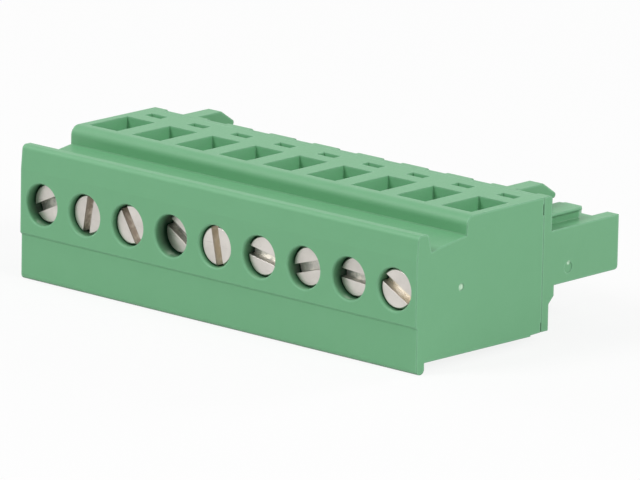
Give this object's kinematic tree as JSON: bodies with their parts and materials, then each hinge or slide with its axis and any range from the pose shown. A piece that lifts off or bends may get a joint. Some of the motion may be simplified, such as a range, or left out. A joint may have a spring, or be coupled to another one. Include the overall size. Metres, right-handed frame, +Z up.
{
  "type": "pluggable terminal block",
  "caption": "Pluggable screw terminal block, 5.08 mm pitch, with screws in front, wire entries on top, clamp cages inside and a coded plug tongue with two latch fins at the rear",
  "frame": {"origin": "middle of the underside of the bounding box", "axes": "+X along the row, to the right for someone who looks at the screws; +Y from the screws to the plug; +Z up, to the wire entries"},
  "size_m": [0.0456, 0.0258, 0.0126],
  "materials": {
    "front_housing": "moulded green polyamide, fine satin",
    "plug_moulding": "moulded green polyamide, fine satin",
    "screw": "nickel-plated steel",
    "clamp_cage": "nickel-plated steel",
    "contact": "tin-plated copper alloy"
  },
  "bodies": {
    "housing": {"front_housing": "front_housing", "plug_moulding": "plug_moulding", "contact_1": "contact", "contact_2": "contact", "contact_3": "contact", "contact_4": "contact", "contact_5": "contact", "contact_6": "contact", "contact_7": "contact", "contact_8": "contact", "contact_9": "contact"},
    "screw_1": {"screw_1": "screw"},
    "cage_1": {"clamp_cage_1": "clamp_cage"},
    "screw_2": {"screw_2": "screw"},
    "cage_2": {"clamp_cage_2": "clamp_cage"},
    "screw_3": {"screw_3": "screw"},
    "cage_3": {"clamp_cage_3": "clamp_cage"},
    "screw_4": {"screw_4": "screw"},
    "cage_4": {"clamp_cage_4": "clamp_cage"},
    "screw_5": {"screw_5": "screw"},
    "cage_5": {"clamp_cage_5": "clamp_cage"},
    "screw_6": {"screw_6": "screw"},
    "cage_6": {"clamp_cage_6": "clamp_cage"},
    "screw_7": {"screw_7": "screw"},
    "cage_7": {"clamp_cage_7": "clamp_cage"},
    "screw_8": {"screw_8": "screw"},
    "cage_8": {"clamp_cage_8": "clamp_cage"},
    "screw_9": {"screw_9": "screw"},
    "cage_9": {"clamp_cage_9": "clamp_cage"}
  },
  "joints": [
    {"name": "screw_turn_1", "type": "hinge", "parent": "housing", "child": "screw_1", "pos_m": [-0.02032, -0.01287, 0.00696], "axis": [0, 1, 0], "range_deg": [0, 1728]},
    {"name": "cage_slide_1", "type": "slide", "parent": "housing", "child": "cage_1", "axis": [0, -1, 0], "range_m": [0, 0.0024]},
    {"name": "screw_turn_2", "type": "hinge", "parent": "housing", "child": "screw_2", "pos_m": [-0.01524, -0.01287, 0.00696], "axis": [0, 1, 0], "range_deg": [0, 1728]},
    {"name": "cage_slide_2", "type": "slide", "parent": "housing", "child": "cage_2", "axis": [0, -1, 0], "range_m": [0, 0.0024]},
    {"name": "screw_turn_3", "type": "hinge", "parent": "housing", "child": "screw_3", "pos_m": [-0.01016, -0.01287, 0.00696], "axis": [0, 1, 0], "range_deg": [0, 1728]},
    {"name": "cage_slide_3", "type": "slide", "parent": "housing", "child": "cage_3", "axis": [0, -1, 0], "range_m": [0, 0.0024]},
    {"name": "screw_turn_4", "type": "hinge", "parent": "housing", "child": "screw_4", "pos_m": [-0.00508, -0.01287, 0.00696], "axis": [0, 1, 0], "range_deg": [0, 1728]},
    {"name": "cage_slide_4", "type": "slide", "parent": "housing", "child": "cage_4", "axis": [0, -1, 0], "range_m": [0, 0.0024]},
    {"name": "screw_turn_5", "type": "hinge", "parent": "housing", "child": "screw_5", "pos_m": [0, -0.01287, 0.00696], "axis": [0, 1, 0], "range_deg": [0, 1728]},
    {"name": "cage_slide_5", "type": "slide", "parent": "housing", "child": "cage_5", "axis": [0, -1, 0], "range_m": [0, 0.0024]},
    {"name": "screw_turn_6", "type": "hinge", "parent": "housing", "child": "screw_6", "pos_m": [0.00508, -0.01287, 0.00696], "axis": [0, 1, 0], "range_deg": [0, 1728]},
    {"name": "cage_slide_6", "type": "slide", "parent": "housing", "child": "cage_6", "axis": [0, -1, 0], "range_m": [0, 0.0024]},
    {"name": "screw_turn_7", "type": "hinge", "parent": "housing", "child": "screw_7", "pos_m": [0.01016, -0.01287, 0.00696], "axis": [0, 1, 0], "range_deg": [0, 1728]},
    {"name": "cage_slide_7", "type": "slide", "parent": "housing", "child": "cage_7", "axis": [0, -1, 0], "range_m": [0, 0.0024]},
    {"name": "screw_turn_8", "type": "hinge", "parent": "housing", "child": "screw_8", "pos_m": [0.01524, -0.01287, 0.00696], "axis": [0, 1, 0], "range_deg": [0, 1728]},
    {"name": "cage_slide_8", "type": "slide", "parent": "housing", "child": "cage_8", "axis": [0, -1, 0], "range_m": [0, 0.0024]},
    {"name": "screw_turn_9", "type": "hinge", "parent": "housing", "child": "screw_9", "pos_m": [0.02032, -0.01287, 0.00696], "axis": [0, 1, 0], "range_deg": [0, 1728]},
    {"name": "cage_slide_9", "type": "slide", "parent": "housing", "child": "cage_9", "axis": [0, -1, 0], "range_m": [0, 0.0024]}
  ],
  "couplings": [
    {"joint": "screw_turn_1", "follows": "cage_slide_1", "rad_per_m": 12566},
    {"joint": "screw_turn_2", "follows": "cage_slide_2", "rad_per_m": 12566},
    {"joint": "screw_turn_3", "follows": "cage_slide_3", "rad_per_m": 12566},
    {"joint": "screw_turn_4", "follows": "cage_slide_4", "rad_per_m": 12566},
    {"joint": "screw_turn_5", "follows": "cage_slide_5", "rad_per_m": 12566},
    {"joint": "screw_turn_6", "follows": "cage_slide_6", "rad_per_m": 12566},
    {"joint": "screw_turn_7", "follows": "cage_slide_7", "rad_per_m": 12566},
    {"joint": "screw_turn_8", "follows": "cage_slide_8", "rad_per_m": 12566},
    {"joint": "screw_turn_9", "follows": "cage_slide_9", "rad_per_m": 12566}
  ]
}
